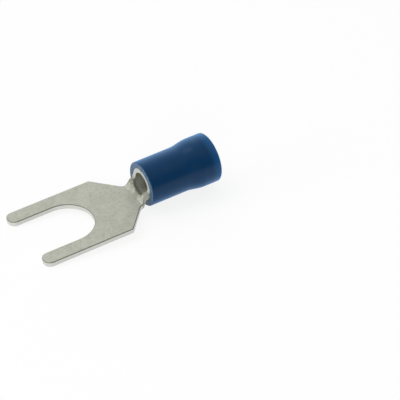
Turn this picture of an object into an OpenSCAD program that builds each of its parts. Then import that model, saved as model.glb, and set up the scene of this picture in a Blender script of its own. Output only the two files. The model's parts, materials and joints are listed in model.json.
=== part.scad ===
// Insulated fork terminal: a stamped sheet rolled into a wire barrel, in a flared plastic sleeve.
// The origin is the centre of the slot's round end, on the contact face under the tongue.
// +X points out of the open end of the fork, +Z to the side on which the barrel is rolled up.

/* [Tongue] */
// Thickness of the sheet that the metal piece is stamped from
sheet_t = 0.6; // [0.5:0.05:0.8]
// Width across the two prongs
tongue_w = 10.2; // [9.4:0.1:12]
// Width of the slot between the prongs, which clears an M6 stud
slot_w = 6.5; // [5.2:0.1:7]
// Reach of the prong tips past the centre of the slot's round end
prong_reach = 5.05; // [4:0.05:8]
// Corner radius of the prong tips
tip_round = 0.85; // [0.2:0.05:0.9]
// Corner radius where the sides turn in to the shoulders
shoulder_round = 0.25; // [0.1:0.05:0.6]
// Angle of the shoulders to the length of the terminal, in degrees
shoulder_angle = 48.5; // [42:0.5:60]

/* [Neck] */
// Width of the blank at its narrowest, between tongue and barrel
neck_w = 4.1; // [3.2:0.1:4.8]
// Radius of the fillet between a shoulder and the front edge of the barrel
neck_fillet = 0.95; // [0.6:0.05:1.2]
// Length over which the flat sheet rolls up to the barrel's radius
roll_l = 0.8; // [0.7:0.05:2]
// Distance ahead of the barrel's mouth at which the sheet has that radius
roll_lead = 0.4; // [0.1:0.05:0.6]
// Depth of the underside of the barrel below the contact face
barrel_drop = 0.26; // [0:0.02:0.5]
// Length over which the sheet sinks to that depth, up to the front face of the sleeve
sink_l = 0.5; // [0.4:0.05:1.2]

/* [Barrel] */
// Distance from the centre of the slot's round end back to the mouth of the barrel
mouth_back = 9.8; // [9.2:0.1:13]
// Bore of the barrel, for the bare conductor
barrel_bore = 2.6; // [2.2:0.05:2.9]
// Length of the barrel from its mouth
barrel_l = 6; // [5:0.1:6.6]
// Gap left by the butt seam along the top of the barrel
seam_gap = 0.1; // [0.05:0.01:0.2]

/* [Sleeve] */
// Wall of the sleeve round the barrel
sleeve_wall = 0.7; // [0.55:0.01:0.85]
// Radial clearance between the barrel and the bore of the sleeve
fit_clearance = 0.02; // [0.01:0.005:0.05]
// How far the front face of the sleeve stands past the mouth of the barrel
sleeve_lip = 0.05; // [0.02:0.01:0.08]
// Straight length of the sleeve before its flare
flare_start = 4.7; // [3:0.1:5.5]
// Length over which the flare swells
flare_run = 2.2; // [1:0.1:2.6]
// Bore at the wire entry, for the insulation of the wire
entry_bore = 4.1; // [3.95:0.05:4.6]
// Length of the wire entry, from the rear face in to the funnel
entry_l = 2; // [1.2:0.1:4]
// Length of the funnel from the wire entry down to the bore round the barrel
funnel_l = 0.8; // [0.4:0.1:1.4]
// Wall of the flare round the wire entry
flare_wall = 0.855; // [0.7:0.005:1.2]
// Radius of the moulded edge at the rear rim
rim_round = 0.2; // [0.1:0.02:0.4]
// Radius of the trimmed edge at the front face
front_round = 0.12; // [0.05:0.01:0.3]

/* [Hidden] */

// Steps of arcs, of the neck's shoulders, fillet and width, and facets of the round bodies
arc_steps = 8;
lead_steps = 5;
neck_steps = 22;
neck_ribs = 32;
round_fn = 96;

// Depth by which the neck's ends sink into the tongue and the barrel, and its margin inside them
knit = 0.3;
knit_margin = 0.01;
// Length by which cutting bodies run past what they cut
past = 1;
// Largest share of a width or a wall that the rounding of each of its two edges takes
round_share = 0.47;

prong_w = (tongue_w - slot_w) / 2;
tip_r = min(tip_round, round_share * prong_w);

// The barrel's neutral radius, its diameter, the height of its axis, and places along the terminal
roll_r = (barrel_bore + sheet_t) / 2;
barrel_d = barrel_bore + 2 * sheet_t;
axis_z = sheet_t / 2 - barrel_drop + roll_r;
mouth_x = -mouth_back;
sleeve_x = mouth_x + sleeve_lip;
flat_x = mouth_x + roll_lead + roll_l;
sink_x = sleeve_x + sink_l;

// The neck fillet touches the barrel's front edge and the shoulder in the flat blank
fillet_x = mouth_x + neck_fillet;
fillet_s = neck_w / 2 + neck_fillet;
touch_x = fillet_x + neck_fillet * sin(shoulder_angle);
touch_s = fillet_s - neck_fillet * cos(shoulder_angle);
shoulder_x = touch_x + (tongue_w / 2 - touch_s) / tan(shoulder_angle);
// The flat tongue ends ahead of the fillet and of the places where the sheet starts to roll and sink
plate_x = max(flat_x, touch_x + knit, sink_x);

// Radii and lengths of the sleeve, with its edges no rounder than its walls allow
seat_r = barrel_d / 2 + fit_clearance;
body_r = seat_r + sleeve_wall;
entry_r = entry_bore / 2;
flare_r = entry_r + flare_wall;
rim_r = min(rim_round, round_share * flare_wall);
front_r = min(front_round, round_share * sleeve_wall);
seat_l = sleeve_lip + barrel_l;
sleeve_l = seat_l + funnel_l + entry_l;

// Eased step from 0 to 1
function ease(u) = let (c = min(1, max(0, u))) c * c * (3 - 2 * c);

// Points of an arc
function arc(centre, r, from, to, steps = arc_steps) = [
    for (i = [0 : steps])
        let (a = from + (to - from) * i / steps)
            [centre[0] + r * cos(a), centre[1] + r * sin(a)]
];

// Half the width of the flat blank at a place along the terminal
function blank_s(x) =
    x >= touch_x ? touch_s + (x - touch_x) * tan(shoulder_angle)
    : fillet_s - sqrt(max(0, pow(neck_fillet, 2) - pow(x - fillet_x, 2)));

// Points of one half of the tongue's outline, from the rear round the prong tip to the slot
function half_outline() = let (
    turn = shoulder_round * tan(shoulder_angle / 2),
    corner = [shoulder_x + turn, tongue_w / 2 - shoulder_round],
    tip_x = prong_reach - tip_r
) concat(
    [[plate_x, blank_s(plate_x)]],
    arc(corner, shoulder_round, 90 + shoulder_angle, 90),
    arc([tip_x, tongue_w / 2 - tip_r], tip_r, 90, 0),
    arc([tip_x, slot_w / 2 + tip_r], tip_r, 0, -90),
    [[0, slot_w / 2]]
);

function mirrored(points) = [for (i = [len(points) - 1 : -1 : 0]) [points[i][0], -points[i][1]]];

// The flat fork
module tongue() {
    half = half_outline();
    difference() {
        linear_extrude(sheet_t) polygon(concat(half, mirrored(half)));
        translate([0, 0, -past]) cylinder(d = slot_w, h = sheet_t + 2 * past, $fn = round_fn);
    }
}

// Places along the neck, close together round the fillet, from the tongue to the barrel
function neck_stations() = concat(
    [plate_x + knit],
    [for (i = [0 : lead_steps - 1]) plate_x + (touch_x - plate_x) * i / lead_steps],
    [for (i = [0 : neck_steps])
        let (a = shoulder_angle - (shoulder_angle + 90) * i / neck_steps)
            fillet_x + neck_fillet * sin(a)],
    [mouth_x - knit]
);

// A point of the rolled sheet: x along the terminal, s across the blank, side -1 below and 1 above
function rolled(x, s, side) = let (
    share = ease((flat_x - x) / roll_l),
    sunk = barrel_drop * ease((sink_x - x) / sink_l),
    bend = share / roll_r,
    turn = bend * s * 180 / PI,
    half_t = side * (sheet_t / 2 - knit_margin),
    y = bend > 0 ? sin(turn) / bend : s,
    rise = bend > 0 ? (1 - cos(turn)) / bend : 0
) [x, y - half_t * sin(turn), sheet_t / 2 - sunk + rise + half_t * cos(turn)];

// Points round one section of the neck: along the underside, then back along the upper side
function neck_ring(x) = let (half_s = blank_s(x) - knit_margin) concat(
    [for (i = [0 : neck_ribs]) rolled(x, half_s * (2 * i / neck_ribs - 1), -1)],
    [for (i = [neck_ribs : -1 : 0]) rolled(x, half_s * (2 * i / neck_ribs - 1), 1)]
);

// The neck, where the sheet rolls up from the flat tongue into the barrel
module neck() {
    stations = neck_stations();
    ring = 2 * (neck_ribs + 1);
    last = ring * (len(stations) - 1);
    sides = [
        for (k = [0 : len(stations) - 2], i = [0 : ring - 1])
            let (a = k * ring + i, b = k * ring + (i + 1) % ring)
                each [[a, b, b + ring], [a, b + ring, a + ring]]
    ];
    ends = [
        for (i = [0 : neck_ribs - 1])
            let (j = ring - 1 - i)
                each [
                    [i, j, i + 1], [i + 1, j, j - 1],
                    [last + i, last + i + 1, last + j], [last + i + 1, last + j - 1, last + j]
                ]
    ];
    polyhedron([for (x = stations) each neck_ring(x)], concat(sides, ends));
}

// Places what is drawn along +Z so that it runs back along the barrel's axis from a place in x
module along_barrel(x) {
    translate([x, 0, axis_z]) rotate([0, -90, 0]) children();
}

// The rolled barrel with its butt seam on top
module barrel() {
    difference() {
        along_barrel(mouth_x) cylinder(d = barrel_d, h = barrel_l, $fn = round_fn);
        along_barrel(mouth_x + past) cylinder(d = barrel_bore, h = barrel_l + 2 * past, $fn = round_fn);
        translate([mouth_x - barrel_l - past, -seam_gap / 2, axis_z])
            cube([barrel_l + 2 * past, seam_gap, barrel_d]);
    }
}

module fork_and_barrel() {
    color([0.70, 0.71, 0.65]) union() {
        tongue();
        neck();
        barrel();
    }
}

// Section of the sleeve, as radius and distance from its front face
function sleeve_section() = concat(
    [[seat_r, 0]],
    arc([body_r - front_r, front_r], front_r, -90, 0),
    [for (i = [0 : 2 * arc_steps])
        let (u = i / (2 * arc_steps))
            [body_r + (flare_r - body_r) * ease(u), flare_start + flare_run * u]],
    arc([flare_r - rim_r, sleeve_l - rim_r], rim_r, 0, 90),
    arc([entry_r + rim_r, sleeve_l - rim_r], rim_r, 90, 180),
    [[entry_r, seat_l + funnel_l], [seat_r, seat_l]]
);

module insulating_sleeve() {
    color([0.13, 0.24, 0.42])
        along_barrel(sleeve_x) rotate_extrude($fn = round_fn) polygon(sleeve_section());
}

fork_and_barrel();
insulating_sleeve();
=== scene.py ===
"""Dresses an insulated fork terminal: a tin-plated copper fork in a blue vinyl sleeve.

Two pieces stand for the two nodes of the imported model. The fork is cut as a flat blank, with the edges
that a press leaves, and rolled up by a node tree. The sleeve is turned from its section. Sizes are in
millimetres until a mesh is made, which is in metres.
"""

import json
import logging
import math
from dataclasses import dataclass
from enum import Enum
from typing import Any

import bpy
import numpy as np
from mathutils import Matrix, Vector
from mathutils.geometry import delaunay_2d_cdt


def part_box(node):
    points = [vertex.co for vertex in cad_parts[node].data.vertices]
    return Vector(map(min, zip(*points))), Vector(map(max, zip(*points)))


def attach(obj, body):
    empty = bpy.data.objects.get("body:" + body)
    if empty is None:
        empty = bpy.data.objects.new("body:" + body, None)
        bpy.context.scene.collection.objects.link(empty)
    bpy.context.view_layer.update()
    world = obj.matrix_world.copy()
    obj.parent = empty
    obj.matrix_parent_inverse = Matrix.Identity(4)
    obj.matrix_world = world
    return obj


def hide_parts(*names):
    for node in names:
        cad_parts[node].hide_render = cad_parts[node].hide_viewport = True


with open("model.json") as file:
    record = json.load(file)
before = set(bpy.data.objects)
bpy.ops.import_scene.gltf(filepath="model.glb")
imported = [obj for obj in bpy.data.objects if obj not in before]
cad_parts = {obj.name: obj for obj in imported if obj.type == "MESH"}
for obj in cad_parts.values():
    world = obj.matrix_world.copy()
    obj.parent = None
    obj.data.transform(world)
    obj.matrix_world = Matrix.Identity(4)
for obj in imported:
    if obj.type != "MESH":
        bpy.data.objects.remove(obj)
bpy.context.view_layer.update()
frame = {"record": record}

MM = 0.001
LOG = logging.getLogger("fork_terminal")
WHITE = "#ffffff"

# Slack in comparisons of places, and the triangulation that keeps only what lies inside an outline
TOLERANCE = 1e-6
TRIANGLES_INSIDE = 1
# Level about which noise varies, and the bend, per metre, that stands for flat
NOISE_MIDDLE = 0.5
FLATTEST_BEND = 1e-3

# Kinds of node, and settings of nodes, that the trees use often
MATH = "ShaderNodeMath"
NOISE = "ShaderNodeTexNoise"
MAP_RANGE = "ShaderNodeMapRange"
MIX = "ShaderNodeMix"
ATTRIBUTE = "ShaderNodeAttribute"
SMOOTH = {"interpolation_type": "SMOOTHSTEP"}
COLOURS = {"data_type": "RGBA"}
ADD = {"operation": "ADD"}
SUBTRACT = {"operation": "SUBTRACT"}
MULTIPLY = {"operation": "MULTIPLY"}
MULTIPLY_ADD = {"operation": "MULTIPLY_ADD"}
DIVIDE = {"operation": "DIVIDE"}
MAXIMUM = {"operation": "MAXIMUM"}
SINE = {"operation": "SINE"}
COSINE = {"operation": "COSINE"}


class Node(Enum):
    """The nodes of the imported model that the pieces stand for."""

    FORK = "fork_and_barrel"
    SLEEVE = "insulating_sleeve"


class Slot(Enum):
    """The record's material slots."""

    METAL = "tinned_copper"
    PLASTIC = "blue_pvc"


class Mark(Enum):
    """Attributes that the meshes carry for their materials."""

    SHEET = "sheet_place"
    # Painted shade along the upper edge of the fork
    EDGE_SHADE = "drawn_edge"
    # Painted highlight on the fork's cut wall
    SHEARED_HIGHLIGHT = "sheared_wall"
    SPOKE = "spoke"
    RIM = "stretched_rim"


def linear(colour: str) -> tuple[float, float, float, float]:
    """Turns an sRGB colour into the linear values that shaders take, by the sRGB standard's curve.

    Args:
        colour: Six hex digits after a hash sign.

    Returns:
        Red, green, blue and an alpha of 1.
    """
    channels = [int(colour[i:i + 2], 16) / 255 for i in (1, 3, 5)]
    red, green, blue = (c / 12.92 if c <= 0.04045 else ((c + 0.055) / 1.055) ** 2.4 for c in channels)
    return red, green, blue, 1.0


def add_node(tree: bpy.types.NodeTree, kind: str, settings: dict[str, Any] | None = None,
             inputs: dict[int | str, Any] | None = None) -> bpy.types.Node:
    """Adds a node with its settings, values and links.

    Args:
        tree: The tree that gets the node.
        kind: The node's type name.
        settings: Values of the node's own properties.
        inputs: For each input socket, a value or the output socket that is linked to it.

    Returns:
        The new node.
    """
    node = tree.nodes.new(kind)
    for name, value in (settings or {}).items():
        setattr(node, name, value)
    for key, value in (inputs or {}).items():
        if isinstance(value, bpy.types.NodeSocket):
            tree.links.new(value, node.inputs[key])
        else:
            node.inputs[key].default_value = value
    return node


def new_material(name: str) -> tuple[bpy.types.Material, bpy.types.NodeTree]:
    """Makes a material with an empty node tree.

    Args:
        name: The material's name.

    Returns:
        The material and its tree.
    """
    material = bpy.data.materials.new(name)
    material.use_nodes = True
    material.node_tree.nodes.clear()
    return material, material.node_tree


def ease(share: float) -> float:
    """Turns an even step from 0 to 1 into an eased one."""
    return share * share * (3 - 2 * share)


def arc(centre: tuple[float, float], radius: float, start: float, end: float,
        steps: int) -> list[tuple[float, float]]:
    """Gives the points of an arc.

    Args:
        centre: The arc's centre.
        radius: The arc's radius.
        start: The angle of the first point, in degrees.
        end: The angle of the last point, in degrees.
        steps: The number of equal steps.

    Returns:
        The points, both ends included.
    """
    angles = np.radians(np.linspace(start, end, steps + 1))
    return [(centre[0] + radius * math.cos(a), centre[1] + radius * math.sin(a)) for a in angles]


def spaced(points: list[tuple[float, float]], step: float) -> np.ndarray:
    """Adds points along the long straight stretches of an outline.

    Args:
        points: The corners and arc points, in order.
        step: The longest stretch that is left.

    Returns:
        The points as rows, with repeated ones dropped.
    """
    rows = [np.array(points[0])]
    for point in points[1:]:
        start = rows[-1]
        gap = np.array(point) - start
        count = math.ceil(np.linalg.norm(gap) / step - TOLERANCE)
        rows.extend(start + gap * k / count for k in range(1, count + 1))
    return np.array(rows)


def inward(outline: np.ndarray) -> np.ndarray:
    """Gives the steps that carry the points of a closed outline one unit in from its sides.

    Args:
        outline: Rows of points, with the inside on their left.

    Returns:
        A row for each point.
    """
    before = outline - np.roll(outline, 1, axis=0)
    after = np.roll(before, -1, axis=0)
    normals = [np.stack([-d[:, 1], d[:, 0]], 1) / np.linalg.norm(d, axis=1)[:, None]
               for d in (before, after)]
    return (normals[0] + normals[1]) / (1 + (normals[0] * normals[1]).sum(1))[:, None]


def inside(points: np.ndarray, ring: np.ndarray) -> np.ndarray:
    """Tells which points lie inside a closed outline, by how often a line from each crosses it.

    Args:
        points: Rows of points.
        ring: Rows of the outline's points.

    Returns:
        True for each point that lies inside.
    """
    following = np.roll(ring, -1, axis=0)
    across = (ring[:, 1] > points[:, None, 1]) != (following[:, 1] > points[:, None, 1])
    rise = np.where(following[:, 1] == ring[:, 1], 1.0, following[:, 1] - ring[:, 1])
    slant = ring[:, 0] + (points[:, None, 1] - ring[:, 1]) / rise * (following[:, 0] - ring[:, 0])
    return (across & (points[:, None, 0] < slant)).sum(1) % 2 == 1


def mount(name: str) -> dict[str, Any]:
    """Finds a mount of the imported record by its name."""
    return next(m for m in frame["record"]["mounts"] if m["name"] == name)


def plain_mesh(work: bpy.types.Object, name: str) -> bpy.types.Object:
    """Turns an object with modifiers into a finished piece with a plain mesh.

    Args:
        work: The object to convert, which is removed.
        name: The name of the finished piece.

    Returns:
        The piece, at the origin.
    """
    graph = bpy.context.evaluated_depsgraph_get()
    mesh = bpy.data.meshes.new_from_object(work.evaluated_get(graph), depsgraph=graph)
    mesh.name = name
    work.modifiers.clear()
    source = work.data
    bpy.data.objects.remove(work)
    bpy.data.meshes.remove(source)
    piece = bpy.data.objects.new(name, mesh)
    bpy.context.scene.collection.objects.link(piece)
    mesh.polygons.foreach_set("use_smooth", [True] * len(mesh.polygons))
    return piece


@dataclass(frozen=True)
class TinPlate:
    """Electro-tinned copper sheet, blanked and rolled.

    The plate is dull and warm grey, with faint clouds and specks. The blanking die draws the upper edge
    down, and a dark line of painted shade runs along it; the cut wall below it is brightened with a
    painted highlight, which at the neck gives way to the painted shade of the edge. The marks of the
    rolling mill are made coarser than real ones, so that they show. A fade is the stretch of noise over
    which a pattern comes in.
    """

    name: str = "tin_plated_copper"
    plate: str = "#bfc0b6"
    cloud: str = "#b7b8ac"
    speck: str = "#85867a"
    # Painted shade: the dark line along the rounded upper edge
    edge_shade: str = "#87887b"
    # Painted highlight: the cut wall is brighter than the plate
    sheared_highlight: str = "#d6d7d2"
    cloud_mm: float = 1.1
    cloud_detail: float = 4.0
    cloud_roughness: float = 0.6
    cloud_fade: tuple[float, float] = (0.35, 0.65)
    speck_mm: float = 0.28
    speck_detail: float = 2.0
    speck_fade: tuple[float, float] = (0.52, 0.76)
    speck_share: float = 0.35
    speck_relief: float = 0.5
    roll_mark_mm: float = 0.12
    roll_mark_detail: float = 3.0
    roll_mark_stretch: float = 14.0
    roughness: float = 0.66
    roughness_spread: float = 0.06
    burnished: float = 0.6
    bump_mm: float = 0.004
    bump_strength: float = 0.5

    def material(self) -> bpy.types.Material:
        """Builds the material, whose patterns lie on the sheet as it was before it was rolled.

        Returns:
            The material.
        """
        material, tree = new_material(self.name)
        place, edge_shade, sheared_highlight = (add_node(tree, ATTRIBUTE, {"attribute_name": mark.value}).outputs
                                 for mark in (Mark.SHEET, Mark.EDGE_SHADE, Mark.SHEARED_HIGHLIGHT))
        clouds = add_node(tree, NOISE, None, {
            "Vector": place["Vector"], "Scale": 1 / self.cloud_mm, "Detail": self.cloud_detail,
            "Roughness": self.cloud_roughness})
        specks = add_node(tree, NOISE, None, {
            "Vector": place["Vector"], "Scale": 1 / self.speck_mm, "Detail": self.speck_detail})
        along = add_node(tree, "ShaderNodeMapping", None, {
            "Vector": place["Vector"], "Scale": (1 / self.roll_mark_stretch, 1.0, 1.0)})
        marks = add_node(tree, NOISE, None, {
            "Vector": along.outputs["Vector"], "Scale": 1 / self.roll_mark_mm,
            "Detail": self.roll_mark_detail})
        cloudy = add_node(tree, MAP_RANGE, SMOOTH, {
            "Value": clouds.outputs["Fac"], "From Min": self.cloud_fade[0], "From Max": self.cloud_fade[1]})
        base = add_node(tree, MIX, COLOURS, {
            "Factor": cloudy.outputs["Result"], "A": linear(self.plate), "B": linear(self.cloud)})
        speckled = add_node(tree, MAP_RANGE, SMOOTH, {
            "Value": specks.outputs["Fac"], "From Min": self.speck_fade[0], "From Max": self.speck_fade[1],
            "To Max": self.speck_share})
        spotted = add_node(tree, MIX, COLOURS, {
            "Factor": speckled.outputs["Result"], "A": base.outputs["Result"], "B": linear(self.speck)})
        # Painted highlight on the cut wall
        with_wall_highlight = add_node(tree, MIX, COLOURS, {
            "Factor": sheared_highlight["Fac"], "A": spotted.outputs["Result"], "B": linear(self.sheared_highlight)})
        # Painted shade along the rounded upper edge, and on the cut wall at the neck
        with_edge_shade = add_node(tree, MIX, COLOURS, {
            "Factor": edge_shade["Fac"], "A": with_wall_highlight.outputs["Result"], "B": linear(self.edge_shade)})
        rough = add_node(tree, MAP_RANGE, None, {
            "Value": marks.outputs["Fac"], "To Min": self.roughness - self.roughness_spread,
            "To Max": self.roughness + self.roughness_spread})
        polish = add_node(tree, MIX, None, {
            "Factor": sheared_highlight["Fac"], "A": rough.outputs["Result"], "B": self.burnished})
        relief = add_node(tree, MATH, MULTIPLY_ADD, {
            0: specks.outputs["Fac"], 1: self.speck_relief, 2: marks.outputs["Fac"]})
        bump = add_node(tree, "ShaderNodeBump", None, {
            "Strength": self.bump_strength, "Distance": self.bump_mm * MM,
            "Height": relief.outputs["Value"]})
        shader = add_node(tree, "ShaderNodeBsdfPrincipled", None, {
            "Base Color": with_edge_shade.outputs["Result"], "Metallic": 1.0, "Roughness": polish.outputs["Result"],
            "Normal": bump.outputs["Normal"]})
        add_node(tree, "ShaderNodeOutputMaterial", None, {"Surface": shader.outputs["BSDF"]})
        return material


@dataclass(frozen=True)
class Vinyl:
    """Soft PVC, moulded in navy blue.

    The skin is satin. A bloom of plasticiser turns it a lighter blue where it is seen at a low angle, and
    the rim of the flare, which was stretched most, is a little paler. The grain of the skin is made
    coarser than the real one, so that it shows.
    """

    name: str = "moulded_pvc"
    body: str = "#0a3358"
    shade: str = "#0a2c4d"
    pale: str = "#205586"
    cloud_mm: float = 1.4
    cloud_detail: float = 3.0
    skin_mm: float = 0.16
    skin_detail: float = 2.0
    roughness: float = 0.28
    bump_mm: float = 0.003
    bump_strength: float = 0.5
    ior: float = 1.53
    gloss: float = 0.17
    bloom: float = 1.0
    bloom_tint: str = "#28a4f4"
    bloom_spread: float = 0.45

    def material(self) -> bpy.types.Material:
        """Builds the material, whose paler rim is given by an attribute.

        Returns:
            The material.
        """
        material, tree = new_material(self.name)
        place = add_node(tree, "ShaderNodeTexCoord").outputs["Object"]
        rim = add_node(tree, ATTRIBUTE, {"attribute_name": Mark.RIM.value})
        clouds = add_node(tree, NOISE, None, {
            "Vector": place, "Scale": 1 / (self.cloud_mm * MM), "Detail": self.cloud_detail})
        skin = add_node(tree, NOISE, None, {
            "Vector": place, "Scale": 1 / (self.skin_mm * MM), "Detail": self.skin_detail})
        body = add_node(tree, MIX, COLOURS, {
            "Factor": clouds.outputs["Fac"], "A": linear(self.body), "B": linear(self.shade)})
        colour = add_node(tree, MIX, COLOURS, {
            "Factor": rim.outputs["Fac"], "A": body.outputs["Result"], "B": linear(self.pale)})
        bump = add_node(tree, "ShaderNodeBump", None, {
            "Strength": self.bump_strength, "Distance": self.bump_mm * MM, "Height": skin.outputs["Fac"]})
        shader = add_node(tree, "ShaderNodeBsdfPrincipled", None, {
            "Base Color": colour.outputs["Result"], "Roughness": self.roughness, "IOR": self.ior,
            "Specular IOR Level": self.gloss, "Sheen Weight": self.bloom,
            "Sheen Roughness": self.bloom_spread, "Sheen Tint": linear(self.bloom_tint),
            "Normal": bump.outputs["Normal"]})
        add_node(tree, "ShaderNodeOutputMaterial", None, {"Surface": shader.outputs["BSDF"]})
        return material


@dataclass(frozen=True)
class CutVinyl:
    """The same PVC where a blade trimmed it.

    The cut is frosted, so it is paler and greyer than the skin, with mottled patches and fine pale marks
    that run out from the bore. A fade is the stretch of noise over which a pattern comes in.
    """

    name: str = "trimmed_pvc"
    frosted: str = "#4a6783"
    patch: str = "#2f4f6e"
    mark: str = "#6c89a4"
    patch_mm: float = 0.35
    patch_detail: float = 3.0
    patch_fade: tuple[float, float] = (0.35, 0.65)
    mark_mm: float = 0.1
    mark_detail: float = 2.0
    mark_fade: tuple[float, float] = (0.5, 0.7)
    mark_share: float = 0.7
    mark_depth_mm: float = 0.03
    bump_strength: float = 0.6
    roughness: float = 0.6
    ior: float = 1.53

    def material(self) -> bpy.types.Material:
        """Builds the material, whose marks follow an attribute that points out from the bore.

        Returns:
            The material.
        """
        material, tree = new_material(self.name)
        place = add_node(tree, "ShaderNodeTexCoord").outputs["Object"]
        spoke = add_node(tree, ATTRIBUTE, {"attribute_name": Mark.SPOKE.value})
        patches = add_node(tree, NOISE, None, {
            "Vector": place, "Scale": 1 / (self.patch_mm * MM), "Detail": self.patch_detail})
        marks = add_node(tree, NOISE, None, {
            "Vector": spoke.outputs["Vector"], "Scale": 1 / self.mark_mm, "Detail": self.mark_detail})
        mottle = add_node(tree, MAP_RANGE, SMOOTH, {
            "Value": patches.outputs["Fac"], "From Min": self.patch_fade[0],
            "From Max": self.patch_fade[1]})
        colour = add_node(tree, MIX, COLOURS, {
            "Factor": mottle.outputs["Result"], "A": linear(self.frosted), "B": linear(self.patch)})
        scored = add_node(tree, MAP_RANGE, SMOOTH, {
            "Value": marks.outputs["Fac"], "From Min": self.mark_fade[0], "From Max": self.mark_fade[1],
            "To Max": self.mark_share})
        streaked = add_node(tree, MIX, COLOURS, {
            "Factor": scored.outputs["Result"], "A": colour.outputs["Result"], "B": linear(self.mark)})
        bump = add_node(tree, "ShaderNodeBump", None, {
            "Strength": self.bump_strength, "Distance": self.mark_depth_mm * MM,
            "Height": marks.outputs["Fac"]})
        shader = add_node(tree, "ShaderNodeBsdfPrincipled", None, {
            "Base Color": streaked.outputs["Result"], "Roughness": self.roughness, "IOR": self.ior,
            "Normal": bump.outputs["Normal"]})
        add_node(tree, "ShaderNodeOutputMaterial", None, {"Surface": shader.outputs["BSDF"]})
        return material


@dataclass(frozen=True)
class PaleFloor:
    """Matt white board, which the camera sees as plain white with a faint shadow on it."""

    name: str = "white_board"
    colour: str = WHITE
    lift: float = 0.85

    def material(self) -> bpy.types.Material:
        """Builds the material, which adds white only for rays that show the floor to the eye.

        Returns:
            The material.
        """
        material, tree = new_material(self.name)
        path = add_node(tree, "ShaderNodeLightPath")
        mirrored = add_node(tree, MATH, MAXIMUM, {
            0: path.outputs["Is Glossy Ray"], 1: path.outputs["Is Transmission Ray"]})
        seen = add_node(tree, MATH, MAXIMUM, {
            0: path.outputs["Is Camera Ray"], 1: mirrored.outputs["Value"]})
        share = add_node(tree, MATH, MULTIPLY, {0: seen.outputs["Value"], 1: self.lift})
        board = add_node(tree, "ShaderNodeBsdfDiffuse", None, {"Color": linear(self.colour)})
        white = add_node(tree, "ShaderNodeEmission", None, {"Strength": 1.0})
        mixed = add_node(tree, "ShaderNodeMixShader", None, {
            0: share.outputs["Value"], 1: board.outputs["BSDF"], 2: white.outputs["Emission"]})
        add_node(tree, "ShaderNodeOutputMaterial", None, {"Surface": mixed.outputs["Shader"]})
        return material


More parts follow.
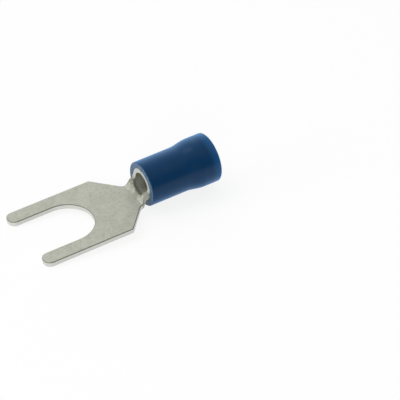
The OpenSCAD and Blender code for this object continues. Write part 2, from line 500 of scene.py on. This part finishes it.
@dataclass
class Fork:
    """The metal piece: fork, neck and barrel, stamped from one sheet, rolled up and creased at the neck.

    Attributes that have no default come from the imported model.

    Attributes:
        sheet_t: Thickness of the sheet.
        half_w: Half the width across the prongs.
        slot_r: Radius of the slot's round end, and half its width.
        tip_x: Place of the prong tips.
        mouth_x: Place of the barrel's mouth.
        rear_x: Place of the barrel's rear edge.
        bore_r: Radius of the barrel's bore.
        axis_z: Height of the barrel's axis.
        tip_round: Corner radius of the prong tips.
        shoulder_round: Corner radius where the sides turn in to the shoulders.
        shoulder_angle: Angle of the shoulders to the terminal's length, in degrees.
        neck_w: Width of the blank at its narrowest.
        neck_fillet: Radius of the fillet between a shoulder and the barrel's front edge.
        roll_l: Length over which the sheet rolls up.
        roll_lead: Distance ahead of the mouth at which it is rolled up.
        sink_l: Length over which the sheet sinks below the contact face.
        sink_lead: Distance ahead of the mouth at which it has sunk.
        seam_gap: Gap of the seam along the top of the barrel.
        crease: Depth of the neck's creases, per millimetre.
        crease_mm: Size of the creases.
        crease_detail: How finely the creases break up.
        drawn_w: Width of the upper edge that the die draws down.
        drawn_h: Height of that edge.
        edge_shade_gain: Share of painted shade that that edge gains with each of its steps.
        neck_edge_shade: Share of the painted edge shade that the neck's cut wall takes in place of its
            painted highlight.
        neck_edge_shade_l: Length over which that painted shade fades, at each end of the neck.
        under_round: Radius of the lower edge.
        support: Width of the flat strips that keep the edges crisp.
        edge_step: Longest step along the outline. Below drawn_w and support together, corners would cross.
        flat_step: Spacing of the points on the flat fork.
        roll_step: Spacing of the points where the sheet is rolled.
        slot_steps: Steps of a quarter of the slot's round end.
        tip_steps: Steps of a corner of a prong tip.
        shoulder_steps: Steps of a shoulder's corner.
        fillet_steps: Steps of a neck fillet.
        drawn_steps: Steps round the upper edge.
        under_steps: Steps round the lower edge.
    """

    sheet_t: float
    half_w: float
    slot_r: float
    tip_x: float
    mouth_x: float
    rear_x: float
    bore_r: float
    axis_z: float
    tip_round: float = 0.85
    shoulder_round: float = 0.25
    shoulder_angle: float = 48.5
    neck_w: float = 4.1
    neck_fillet: float = 0.95
    roll_l: float = 0.8
    roll_lead: float = 0.4
    sink_l: float = 0.5
    sink_lead: float = 0.05
    seam_gap: float = 0.1
    crease: float = 2.5
    crease_mm: float = 0.4
    crease_detail: float = 1.0
    drawn_w: float = 0.1
    drawn_h: float = 0.08
    edge_shade_gain: float = 0.4
    neck_edge_shade: float = 0.6
    neck_edge_shade_l: float = 0.2
    under_round: float = 0.03
    support: float = 0.03
    edge_step: float = 0.16
    flat_step: float = 0.5
    roll_step: float = 0.1
    slot_steps: int = 36
    tip_steps: int = 14
    shoulder_steps: int = 8
    fillet_steps: int = 24
    drawn_steps: int = 5
    under_steps: int = 3

    @classmethod
    def from_frame(cls) -> "Fork":
        """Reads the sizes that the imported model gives.

        Returns:
            The metal piece.
        """
        low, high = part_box(Node.FORK.value)
        stud, bore = mount("stud_slot"), mount("conductor_bore")
        return cls(
            sheet_t=stud["dims"]["length_mm"],
            half_w=high.y / MM,
            slot_r=stud["dims"]["r_mm"],
            tip_x=high.x / MM,
            mouth_x=bore["pos_m"][0] / MM + bore["dims"]["length_mm"] / 2,
            rear_x=low.x / MM,
            bore_r=bore["dims"]["r_mm"],
            axis_z=bore["pos_m"][2] / MM,
        )

    @property
    def roll_r(self) -> float:
        """Radius of the middle of the rolled sheet."""
        return self.bore_r + self.sheet_t / 2

    @property
    def flat_x(self) -> float:
        """Place at which the flat sheet starts to roll."""
        return self.mouth_x + self.roll_lead + self.roll_l

    @property
    def drop(self) -> float:
        """Depth of the rolled barrel's underside below the flat tongue's."""
        return self.sheet_t / 2 + self.roll_r - self.axis_z

    def outline(self) -> np.ndarray:
        """Gives the closed outline of the flat blank, with the metal on its left.

        Returns:
            Rows of x along the terminal and s across it.
        """
        angle = math.radians(self.shoulder_angle)
        tip_centre_x = self.tip_x - self.tip_round
        fillet = (self.mouth_x + self.neck_fillet, self.neck_w / 2 + self.neck_fillet)
        touch_x = fillet[0] + self.neck_fillet * math.sin(angle)
        touch_s = fillet[1] - self.neck_fillet * math.cos(angle)
        shoulder_x = touch_x + (self.half_w - touch_s) / math.tan(angle)
        corner = (shoulder_x + self.shoulder_round * math.tan(angle / 2), self.half_w - self.shoulder_round)
        wing_s = math.pi * self.roll_r - self.seam_gap / 2
        half = [
            *arc((0, 0), self.slot_r, 180, 90, self.slot_steps),
            *arc((tip_centre_x, self.slot_r + self.tip_round), self.tip_round, -90, 0, self.tip_steps),
            *arc((tip_centre_x, self.half_w - self.tip_round), self.tip_round, 0, 90, self.tip_steps),
            *arc(corner, self.shoulder_round, 90, 90 + self.shoulder_angle, self.shoulder_steps),
            *arc(fillet, self.neck_fillet, self.shoulder_angle - 90, -180, self.fillet_steps),
            (self.mouth_x, wing_s),
            (self.rear_x, wing_s),
            (self.rear_x, 0),
        ]
        side = spaced(half, self.edge_step)
        other = side[-2:0:-1] * (1, -1)
        return np.vstack([side, other])

    def edge_section(self) -> list[tuple[float, float, float, float]]:
        """Gives the section of the cut edge, from the upper face round to the lower one.

        Returns:
            For each ring of points, how far it lies in from the outline, its height in the sheet, its share
            of the painted edge shade and its share of the painted highlight on the cut wall.
        """
        top = self.sheet_t / 2
        flat = self.drawn_w + self.support
        rings = [(flat, top, 0.0, 0.0)]
        for step in range(self.drawn_steps + 1):
            turn = math.radians(90 / self.drawn_steps * step)
            inset = self.drawn_w * (1 - math.sin(turn))
            height = top - self.drawn_h * (1 - math.cos(turn))
            # The rounded upper edge takes more painted shade with each step
            rings.append((inset, height, min(1.0, self.edge_shade_gain * step), 0.0))
        # The cut wall carries the painted highlight, which fades round the lower edge
        rings.append((0.0, top - self.drawn_h - self.support, 0.0, 1.0))
        rings.append((0.0, -top + self.under_round + self.support, 0.0, 1.0))
        for step in range(self.under_steps + 1):
            turn = math.radians(90 / self.under_steps * step)
            inset = self.under_round * (1 - math.cos(turn))
            height = -top + self.under_round * (1 - math.sin(turn))
            rings.append((inset, height, 0.0, 1 - step / self.under_steps))
        rings.append((flat, -top, 0.0, 0.0))
        return rings

    def face_points(self, ring: np.ndarray) -> np.ndarray:
        """Spreads points over a face of the blank, closer together where it is rolled.

        Args:
            ring: The outline of the face.

        Returns:
            The points that lie well inside that outline.
        """
        low, high = ring.min(0), ring.max(0)
        border_x = self.flat_x + self.roll_step
        found = []
        for step, start, end in ((self.roll_step, low[0], border_x), (self.flat_step, border_x, high[0])):
            xs = np.arange(start + step / 2, end, step)
            half = np.arange(step / 2, high[1], step)
            grid = np.meshgrid(xs, np.concatenate([-half[::-1], half]))
            found.append(np.stack(grid, -1).reshape(-1, 2))
        points = np.vstack(found)
        clear = np.linalg.norm(points[:, None] - ring[None], axis=2).min(1) > self.roll_step / 2
        return points[inside(points, ring) & clear]

    def neck_edge_shaded(self, outline: np.ndarray) -> np.ndarray:
        """Tells where the neck's cut wall takes the painted edge shade in place of its painted highlight.

        Args:
            outline: The outline of the blank.

        Returns:
            For each point, the share of that painted shade.
        """
        x = outline[:, 0]
        behind = np.clip((x - self.mouth_x) / self.neck_edge_shade_l, 0, 1)
        ahead = np.clip((self.flat_x - x) / self.neck_edge_shade_l, 0, 1)
        return behind * ahead

    def blank(self) -> bpy.types.Object:
        """Makes the flat blank as a closed mesh, with its painted edge shade and highlight as attributes.

        Returns:
            The object, whose mesh lies flat on the contact face.
        """
        outline = self.outline()
        count = len(outline)
        steps_in = inward(outline)
        # Where the cut wall at the neck trades its painted highlight for painted shade
        neck_edge_shaded = self.neck_edge_shaded(outline)
        section = self.edge_section()
        face_ring = outline + steps_in * section[0][0]
        seeds = [Vector(p) for p in np.vstack([face_ring, self.face_points(face_ring)])]
        places, _, triangles, origins, _, _ = delaunay_2d_cdt(
            seeds, [], [list(range(count))], TRIANGLES_INSIDE, TOLERANCE)
        index = {source: k for k, sources in enumerate(origins) for source in sources}
        face_size = len(places)
        points = [(p.x, p.y, section[0][1]) for p in places]
        points += [(p.x, p.y, section[-1][1]) for p in places]
        edge_shade, sheared_highlight = [0.0] * len(points), [0.0] * len(points)
        faces = [tuple(t) for t in triangles]
        faces += [tuple(face_size + k for k in reversed(t)) for t in triangles]
        rings = [[index[k] for k in range(count)]]
        for inset, height, edge_shade_share, sheared_highlight_share in section[1:-1]:
            rings.append(list(range(len(points), len(points) + count)))
            points += [(x, s, height) for x, s in outline + steps_in * inset]
            # Painted shade on the upper edge, and on the cut wall at the neck
            edge_shade += (edge_shade_share + sheared_highlight_share * self.neck_edge_shade * neck_edge_shaded).tolist()
            # Painted highlight on the cut wall, taken off at the neck
            sheared_highlight += (sheared_highlight_share * (1 - neck_edge_shaded)).tolist()
        rings.append([face_size + k for k in rings[0]])
        for upper, lower in zip(rings, rings[1:]):
            for k in range(count):
                n = (k + 1) % count
                faces.append((upper[k], lower[k], lower[n], upper[n]))
        mesh = bpy.data.meshes.new("fork_blank")
        placed = np.array(points) + (0, 0, self.sheet_t / 2)
        mesh.from_pydata((placed * MM).tolist(), [], faces)
        for mark, values in ((Mark.EDGE_SHADE, edge_shade), (Mark.SHEARED_HIGHLIGHT, sheared_highlight)):
            mesh.attributes.new(mark.value, "FLOAT", "POINT").data.foreach_set("value", values)
        blank = bpy.data.objects.new("fork_blank", mesh)
        bpy.context.scene.collection.objects.link(blank)
        return blank

    def roll_inputs(self) -> dict[str, float]:
        """Gives the named inputs of the node tree that rolls the blank up.

        Returns:
            The lengths in metres, and the depth of the creases per metre.
        """
        lengths = {
            "Flat Start": self.flat_x,
            "Roll Length": self.roll_l,
            "Roll Radius": self.roll_r,
            "Sink Start": self.mouth_x + self.sink_lead + self.sink_l,
            "Sink Length": self.sink_l,
            "Barrel Drop": self.drop,
            "Sheet Thickness": self.sheet_t,
        }
        inputs = {name: length * MM for name, length in lengths.items()}
        inputs["Crease"] = self.crease / MM
        return inputs

    def creased_height(self, tree: bpy.types.NodeTree, flat: bpy.types.NodeOutputs,
                       level: bpy.types.NodeSocket, share: bpy.types.NodeSocket,
                       crease: bpy.types.NodeSocket) -> bpy.types.NodeSocket:
        """Adds the nodes that crease the sheet where it is strained.

        The creases are deepest halfway through the roll, and they grow with the square of the distance
        from the middle line. The flat fork and the rolled barrel have none.

        Args:
            tree: The tree that gets the nodes.
            flat: The place of a point on the flat blank, along the three axes.
            level: The height of the point in the sheet.
            share: How far the sheet is rolled there.
            crease: The depth of the creases.

        Returns:
            The height with the crease on it.
        """
        unrolled = add_node(tree, MATH, SUBTRACT, {0: 1.0, 1: share}).outputs[0]
        strain = add_node(tree, MATH, MULTIPLY, {0: share, 1: unrolled}).outputs[0]
        flank = add_node(tree, MATH, MULTIPLY, {0: flat["Y"], 1: flat["Y"]}).outputs[0]
        strained = add_node(tree, MATH, MULTIPLY, {0: strain, 1: flank}).outputs[0]
        plan = add_node(tree, "ShaderNodeCombineXYZ", None, {0: flat["X"], 1: flat["Y"]})
        folds = add_node(tree, NOISE, None, {
            "Vector": plan.outputs["Vector"], "Scale": 1 / (self.crease_mm * MM),
            "Detail": self.crease_detail})
        fold = add_node(tree, MATH, SUBTRACT, {0: folds.outputs["Fac"], 1: NOISE_MIDDLE}).outputs[0]
        depth = add_node(tree, MATH, MULTIPLY, {0: fold, 1: crease}).outputs[0]
        return add_node(tree, MATH, MULTIPLY_ADD, {0: strained, 1: depth, 2: level}).outputs[0]

    def roll_tree(self, material: bpy.types.Material) -> bpy.types.NodeTree:
        """Builds the node tree that rolls the flat blank up into neck and barrel.

        The sheet's curvature grows from nothing at the flat start to one over the roll radius at the end
        of the roll length, by an eased step. Each line across the sheet then becomes an arc of that
        curvature, which keeps its length. A second, shorter step sinks the sheet at the mouth.

        Args:
            material: The finish that the tree sets.

        Returns:
            The tree.
        """
        tree = bpy.data.node_groups.new("roll_up", "GeometryNodeTree")
        face = tree.interface
        face.new_socket("Geometry", in_out="INPUT", socket_type="NodeSocketGeometry")
        for name in self.roll_inputs():
            face.new_socket(name, in_out="INPUT", socket_type="NodeSocketFloat")
        face.new_socket("Geometry", in_out="OUTPUT", socket_type="NodeSocketGeometry")
        given = add_node(tree, "NodeGroupInput").outputs
        position = add_node(tree, "GeometryNodeInputPosition").outputs["Position"]
        in_mm = add_node(tree, "ShaderNodeVectorMath", {"operation": "SCALE"}, {
            0: position, "Scale": 1 / MM})
        kept = add_node(tree, "GeometryNodeStoreNamedAttribute", {"data_type": "FLOAT_VECTOR"}, {
            "Geometry": given["Geometry"], "Name": Mark.SHEET.value, "Value": in_mm.outputs["Vector"]})
        flat = add_node(tree, "ShaderNodeSeparateXYZ", None, {0: position}).outputs
        half_t = add_node(tree, MATH, MULTIPLY, {0: given["Sheet Thickness"], 1: 0.5}).outputs[0]
        level = add_node(tree, MATH, SUBTRACT, {0: flat["Z"], 1: half_t}).outputs[0]
        roll_end = add_node(tree, MATH, SUBTRACT, {0: given["Flat Start"], 1: given["Roll Length"]})
        share = add_node(tree, MAP_RANGE, SMOOTH, {
            "Value": flat["X"], "From Min": given["Flat Start"],
            "From Max": roll_end.outputs[0]}).outputs["Result"]
        height = self.creased_height(tree, flat, level, share, given["Crease"])
        curve = add_node(tree, MATH, DIVIDE, {0: share, 1: given["Roll Radius"]})
        bend = add_node(tree, MATH, MAXIMUM, {0: curve.outputs[0], 1: FLATTEST_BEND}).outputs[0]
        turn = add_node(tree, MATH, MULTIPLY, {0: bend, 1: flat["Y"]}).outputs[0]
        sine = add_node(tree, MATH, SINE, {0: turn}).outputs[0]
        cosine = add_node(tree, MATH, COSINE, {0: turn}).outputs[0]
        across = add_node(tree, MATH, DIVIDE, {0: sine, 1: bend})
        lean = add_node(tree, MATH, MULTIPLY, {0: height, 1: sine})
        y = add_node(tree, MATH, SUBTRACT, {0: across.outputs[0], 1: lean.outputs[0]})
        half_turn = add_node(tree, MATH, MULTIPLY, {0: turn, 1: 0.5})
        half_sine = add_node(tree, MATH, SINE, {0: half_turn.outputs[0]}).outputs[0]
        squared = add_node(tree, MATH, MULTIPLY, {0: half_sine, 1: half_sine})
        doubled = add_node(tree, MATH, MULTIPLY, {0: squared.outputs[0], 1: 2.0})
        rise = add_node(tree, MATH, DIVIDE, {0: doubled.outputs[0], 1: bend})
        sink_end = add_node(tree, MATH, SUBTRACT, {0: given["Sink Start"], 1: given["Sink Length"]})
        sink = add_node(tree, MAP_RANGE, SMOOTH, {
            "Value": flat["X"], "From Min": given["Sink Start"], "From Max": sink_end.outputs[0]})
        sunk = add_node(tree, MATH, MULTIPLY, {0: given["Barrel Drop"], 1: sink.outputs["Result"]})
        middle = add_node(tree, MATH, SUBTRACT, {0: half_t, 1: sunk.outputs[0]})
        raised = add_node(tree, MATH, ADD, {0: middle.outputs[0], 1: rise.outputs[0]})
        z = add_node(tree, MATH, MULTIPLY_ADD, {0: height, 1: cosine, 2: raised.outputs[0]})
        place = add_node(tree, "ShaderNodeCombineXYZ", None, {
            0: flat["X"], 1: y.outputs[0], 2: z.outputs[0]})
        moved = add_node(tree, "GeometryNodeSetPosition", None, {
            "Geometry": kept.outputs["Geometry"], "Position": place.outputs["Vector"]})
        real = add_node(tree, "GeometryNodeRealizeInstances", None, {"Geometry": moved.outputs["Geometry"]})
        dressed = add_node(tree, "GeometryNodeSetMaterial", None, {
            "Geometry": real.outputs["Geometry"], "Material": material})
        add_node(tree, "NodeGroupOutput", None, {"Geometry": dressed.outputs["Geometry"]})
        return tree

    def build(self) -> bpy.types.Object:
        """Cuts the blank, rolls it up and puts it in the place of its node.

        Returns:
            The finished piece.
        """
        blank = self.blank()
        tree = self.roll_tree(TinPlate().material())
        inputs = self.roll_inputs()
        modifier = blank.modifiers.new("roll_up", "NODES")
        modifier.node_group = tree
        for item in tree.interface.items_tree:
            if item.name in inputs:
                modifier[item.identifier] = inputs[item.name]
        piece = plain_mesh(blank, "tinned_fork")
        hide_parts(Node.FORK.value)
        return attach(piece, "root")


@dataclass
class Sleeve:
    """The insulating sleeve, turned from its section round the barrel's axis.

    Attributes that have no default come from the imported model.

    Attributes:
        front_x: Place of the front face.
        rear_x: Place of the rear rim.
        axis_z: Height of the axis.
        seat_r: Radius of the bore round the barrel.
        flare_r: Radius of the flare.
        entry_r: Radius of the wire entry.
        seat_end_x: Place where the funnel meets the bore round the barrel.
        body_wall: Wall round the barrel.
        flare_start: Straight length before the flare.
        flare_run: Length over which the flare swells.
        funnel_l: Length of the funnel.
        rim_round: Radius of the edges of the rear rim.
        rim_share: Largest share of the flare's wall that each of those edges takes.
        front_round: Radius of the front face's outer edge.
        bore_round: Radius of the front face's inner edge.
        pale_l: Length of the stretched rim, over which the skin turns paler.
        trim_limit: Trimmed share from which a face counts as cut.
        support: Width of the flat strips that keep the edges crisp.
        segments: Facets round the sleeve.
        flare_steps: Steps along the flare.
        rim_steps: Steps round each edge of the rear rim.
        front_steps: Steps round the front face's outer edge.
        bore_steps: Steps round the front face's inner edge.
    """

    front_x: float
    rear_x: float
    axis_z: float
    seat_r: float
    flare_r: float
    entry_r: float
    seat_end_x: float
    body_wall: float = 0.7
    flare_start: float = 4.7
    flare_run: float = 2.2
    funnel_l: float = 0.8
    rim_round: float = 0.2
    rim_share: float = 0.45
    front_round: float = 0.14
    bore_round: float = 0.04
    pale_l: float = 1.2
    trim_limit: float = 0.5
    support: float = 0.02
    segments: int = 160
    flare_steps: int = 32
    rim_steps: int = 10
    front_steps: int = 8
    bore_steps: int = 4

    @classmethod
    def from_frame(cls, fork: Fork, fit_clearance: float = 0.02) -> "Sleeve":
        """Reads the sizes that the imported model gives.

        Args:
            fork: The metal piece that the sleeve sits on.
            fit_clearance: The gap between barrel and sleeve.

        Returns:
            The sleeve.
        """
        low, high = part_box(Node.SLEEVE.value)
        return cls(
            front_x=high.x / MM,
            rear_x=low.x / MM,
            axis_z=fork.axis_z,
            seat_r=fork.bore_r + fork.sheet_t + fit_clearance,
            flare_r=high.y / MM,
            entry_r=mount("wire_entry")["dims"]["r_mm"],
            seat_end_x=fork.rear_x,
        )

    @property
    def length(self) -> float:
        """Length from the front face to the rear rim."""
        return self.front_x - self.rear_x

    def section(self) -> list[tuple[float, float, float]]:
        """Gives the closed section, from the bore's front edge over the outside and back through the bore.

        Returns:
            For each point, its distance back from the front face, its radius and how far it was trimmed.
        """
        body_r = self.seat_r + self.body_wall
        seat_l = self.front_x - self.seat_end_x
        rim = min(self.rim_round, self.rim_share * (self.flare_r - self.entry_r))
        rim_x = self.length - rim
        front, bore = self.front_round, self.bore_round
        bore_edge = arc((bore, self.seat_r + bore), bore, -90, -180, self.bore_steps)
        front_edge = arc((front, body_r - front), front, 180, 90, self.front_steps)
        outer_rim = arc((rim_x, self.flare_r - rim), rim, 90, 0, self.rim_steps)
        inner_rim = arc((rim_x, self.entry_r + rim), rim, 0, -90, self.rim_steps)
        points = [(x, r, 1.0) for x, r in bore_edge]
        points.append((0.0, self.seat_r + bore + self.support, 1.0))
        points.append((0.0, body_r - front - self.support, 1.0))
        points += [(x, r, 1 - k / self.front_steps) for k, (x, r) in enumerate(front_edge)]
        points.append((front + self.support, body_r, 0.0))
        for k in range(self.flare_steps + 1):
            share = k / self.flare_steps
            swell_r = body_r + (self.flare_r - body_r) * ease(share)
            points.append((self.flare_start + self.flare_run * share, swell_r, 0.0))
        points.append((self.length - self.pale_l, self.flare_r, 0.0))
        points.append((rim_x - self.support, self.flare_r, 0.0))
        points += [(x, r, k / self.rim_steps) for k, (x, r) in enumerate(outer_rim)]
        points += [(x, r, 1 - k / self.rim_steps) for k, (x, r) in enumerate(inner_rim)]
        points.append((rim_x - self.support, self.entry_r, 0.0))
        points.append((seat_l + self.funnel_l, self.entry_r, 0.0))
        points.append((seat_l, self.seat_r, 0.0))
        points.append((bore + self.support, self.seat_r, 0.0))
        return points

    def turned(self, section: np.ndarray) -> bpy.types.Mesh:
        """Turns the section into a closed mesh, with what its materials need as attributes.

        Args:
            section: The rows of the section.

        Returns:
            The mesh.
        """
        count = len(section)
        angles = np.linspace(0, 2 * math.pi, self.segments, endpoint=False)
        spokes = np.stack([np.zeros_like(angles), np.cos(angles), np.sin(angles)], 1)
        points = spokes[:, None] * section[None, :, 1, None]
        points[:, :, 0] = self.front_x - section[None, :, 0]
        points[:, :, 2] += self.axis_z
        faces = []
        for k in range(self.segments):
            this, following = k * count, (k + 1) % self.segments * count
            for i in range(count):
                n = (i + 1) % count
                faces.append((this + i, this + n, following + n, following + i))
        mesh = bpy.data.meshes.new("vinyl_sleeve")
        mesh.from_pydata((points.reshape(-1, 3) * MM).tolist(), [], faces)
        stretched = np.clip(1 - (self.length - section[:, 0]) / self.pale_l, 0, 1)
        rim = mesh.attributes.new(Mark.RIM.value, "FLOAT", "POINT")
        rim.data.foreach_set("value", np.tile(stretched, self.segments))
        spoke = mesh.attributes.new(Mark.SPOKE.value, "FLOAT_VECTOR", "POINT")
        spoke.data.foreach_set("vector", np.repeat(spokes * self.flare_r, count, axis=0).ravel())
        mesh.polygons.foreach_set("use_smooth", [True] * len(faces))
        return mesh

    def dress(self, mesh: bpy.types.Mesh, section: np.ndarray) -> None:
        """Gives the mesh its moulded skin, and the cut finish where a blade trimmed it.

        Args:
            mesh: The turned mesh.
            section: The rows of the section that it was turned from.
        """
        for finish in (Vinyl(), CutVinyl()):
            mesh.materials.append(finish.material())
        trimmed = (section[:, 2] + np.roll(section[:, 2], -1)) / 2 >= self.trim_limit
        mesh.polygons.foreach_set("material_index", np.tile(trimmed.astype(np.int32), self.segments))

    def build(self) -> bpy.types.Object:
        """Turns the sleeve, dresses it and puts it in the place of its node.

        Returns:
            The finished piece.
        """
        section = np.array(self.section())
        mesh = self.turned(section)
        self.dress(mesh, section)
        piece = bpy.data.objects.new("vinyl_sleeve", mesh)
        bpy.context.scene.collection.objects.link(piece)
        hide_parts(Node.SLEEVE.value)
        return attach(piece, "root")

    def underside_slope(self, tip_x: float) -> float:
        """Works out how the terminal leans when it rests on its prong tips and the sleeve's flare.

        Args:
            tip_x: The place of the prong tips, whose underside is at height 0.

        Returns:
            The drop of the surface below it per length, from the tips back.
        """
        ahead = tip_x - self.front_x
        return max((radius - self.axis_z) / (ahead + back) for back, radius, _ in self.section())


@dataclass(frozen=True)
class Lamp:
    """A square soft lamp.

    Attributes:
        name: The lamp's name.
        place: Where it hangs, in millimetres.
        side: The side of its square, in millimetres.
        power: Its power in watts.
    """

    name: str
    place: tuple[float, float, float]
    side: float
    power: float

    def hang(self, target: tuple[float, float, float]) -> bpy.types.Object:
        """Hangs the lamp so that it points at the terminal.

        Args:
            target: The place that it points at, in millimetres.

        Returns:
            The lamp object.
        """
        data = bpy.data.lights.new(self.name, "AREA")
        data.size = self.side * MM
        data.energy = self.power
        lamp = bpy.data.objects.new(self.name, data)
        lamp.location = Vector(self.place) * MM
        lamp.rotation_euler = (Vector(target) - Vector(self.place)).to_track_quat("-Z", "Y").to_euler()
        bpy.context.scene.collection.objects.link(lamp)
        return lamp


@dataclass
class Studio:
    """The white board, the soft light round it and the camera.

    Attributes:
        azimuth: Bearing of the camera about the upright axis, in degrees.
        elevation: Height of the camera above the level, in degrees.
        roll: Turn of the camera about its own axis, in degrees.
        aim: Place that the camera looks at.
        distance: Distance of the camera from that place.
        focal_share: Focal length as a share of the sensor's width.
        sensor_w: Width of the sensor.
        nearest: Distance from which the camera sees.
        board_half: Half the side of the board.
        lamps: The lamps.
        lamp_target: Place that the lamps point at.
        away: Direction of the white sweep, behind the terminal.
        sweep: Brightness of the sweep.
        sweep_from: Closeness to that direction at which the sweep begins.
        sweep_full: Closeness at which it is at its brightest.
        room: Brightness of the room at the sides and above.
        dark_share: Share of that brightness in front of the terminal.
        dark_from: Closeness at which the room begins to darken.
        dark_full: Closeness at which it is at its darkest.
    """

    azimuth: float = 61.07
    elevation: float = 38.89
    roll: float = 3.52
    aim: tuple[float, float, float] = (-13.586, 6.341, 1.867)
    distance: float = 270.07
    focal_share: float = 6.125
    sensor_w: float = 36.0
    nearest: float = 10.0
    board_half: float = 150.0
    lamps: tuple[Lamp, ...] = (
        Lamp("main", (110, -170, 390), 300, 0.75),
        Lamp("front", (200, 360, 140), 260, 0.75),
        Lamp("side", (380, -60, 90), 260, 0.75),
    )
    lamp_target: tuple[float, float, float] = (-7, 0, 0)
    away: tuple[float, float, float] = (-0.484, -0.875, 0.0)
    sweep: float = 1.3
    sweep_from: float = 0.5
    sweep_full: float = 0.95
    room: float = 0.55
    dark_share: float = 0.08
    dark_from: float = -0.2
    dark_full: float = -0.5

    def camera(self) -> bpy.types.Object:
        """Places the camera at the photograph's angle, turned a little about its own axis.

        Returns:
            The camera object, which the scene uses.
        """
        azimuth, elevation, roll = (math.radians(a) for a in (self.azimuth, self.elevation, self.roll))
        back = Vector((math.cos(elevation) * math.cos(azimuth), math.cos(elevation) * math.sin(azimuth),
                       math.sin(elevation)))
        level = Vector((0, 0, 1)).cross(back).normalized()
        upright = back.cross(level)
        right = level * math.cos(roll) - upright * math.sin(roll)
        up = level * math.sin(roll) + upright * math.cos(roll)
        data = bpy.data.cameras.new("camera")
        data.sensor_width = self.sensor_w
        data.lens = self.sensor_w * self.focal_share
        data.clip_start = self.nearest * MM
        camera = bpy.data.objects.new("camera", data)
        turned = Matrix((right, up, back)).transposed().to_4x4()
        place = (Vector(self.aim) + back * self.distance) * MM
        camera.matrix_world = Matrix.Translation(place) @ turned
        bpy.context.scene.collection.objects.link(camera)
        bpy.context.scene.camera = camera
        return camera

    def board(self, tip_x: float, slope: float) -> bpy.types.Object:
        """Lays the white board under the terminal, at the slope at which the terminal rests on it.

        Args:
            tip_x: The place of the prong tips.
            slope: The board's drop per length, from the tips back.

        Returns:
            The board.
        """
        half = self.board_half
        corners = [(x, y, slope * (x - tip_x)) for x, y in
                   ((-half, -half), (half, -half), (half, half), (-half, half))]
        mesh = bpy.data.meshes.new("board")
        mesh.from_pydata([Vector(c) * MM for c in corners], [], [(0, 1, 2, 3)])
        mesh.materials.append(PaleFloor().material())
        board = bpy.data.objects.new("board", mesh)
        bpy.context.scene.collection.objects.link(board)
        return board

    def surround(self) -> None:
        """Lights the world as a white sweep behind the terminal and a dim room in front of it.

        The camera sees the world as plain white. The metal mirrors the sweep and the room in its place,
        because they give its slopes their light and shade.
        """
        world = bpy.data.worlds.new("surround")
        world.use_nodes = True
        tree = world.node_tree
        tree.nodes.clear()
        path = add_node(tree, "ShaderNodeLightPath")
        direction = add_node(tree, "ShaderNodeTexCoord")
        away = add_node(tree, "ShaderNodeVectorMath", {"operation": "DOT_PRODUCT"}, {
            0: direction.outputs["Generated"], 1: self.away}).outputs["Value"]
        behind = add_node(tree, MAP_RANGE, SMOOTH, {
            "Value": away, "From Min": self.sweep_from, "From Max": self.sweep_full, "To Min": self.room,
            "To Max": self.sweep})
        front = add_node(tree, MAP_RANGE, SMOOTH, {
            "Value": away, "From Min": self.dark_from, "From Max": self.dark_full, "To Min": 1.0,
            "To Max": self.dark_share})
        lit = add_node(tree, MATH, MULTIPLY, {0: behind.outputs["Result"], 1: front.outputs["Result"]})
        plain = add_node(tree, MATH, MAXIMUM, {
            0: path.outputs["Is Camera Ray"], 1: path.outputs["Is Transmission Ray"]})
        strength = add_node(tree, MIX, None, {
            "Factor": plain.outputs["Value"], "A": lit.outputs["Value"], "B": 1.0})
        white = add_node(tree, "ShaderNodeBackground", None, {
            "Color": linear(WHITE), "Strength": strength.outputs["Result"]})
        add_node(tree, "ShaderNodeOutputWorld", None, {"Surface": white.outputs["Background"]})
        bpy.context.scene.world = world

    def build(self, tip_x: float, slope: float) -> None:
        """Sets up board, light and camera.

        Args:
            tip_x: The place of the prong tips.
            slope: The slope at which the terminal rests.
        """
        bpy.context.scene.view_settings.view_transform = "Standard"
        self.board(tip_x, slope)
        for lamp in self.lamps:
            lamp.hang(self.lamp_target)
        self.surround()
        self.camera()


def main() -> None:
    """Builds the pieces and the studio."""
    logging.basicConfig(level=logging.INFO, format="%(message)s")
    fork = Fork.from_frame()
    sleeve = Sleeve.from_frame(fork)
    for piece in (fork.build(), sleeve.build()):
        LOG.info("%s: %d faces", piece.name, len(piece.data.polygons))
    slope = sleeve.underside_slope(fork.tip_x)
    Studio().build(fork.tip_x, slope)
    LOG.info("board slope %.4f", slope)


if __name__ == "__main__":
    main()
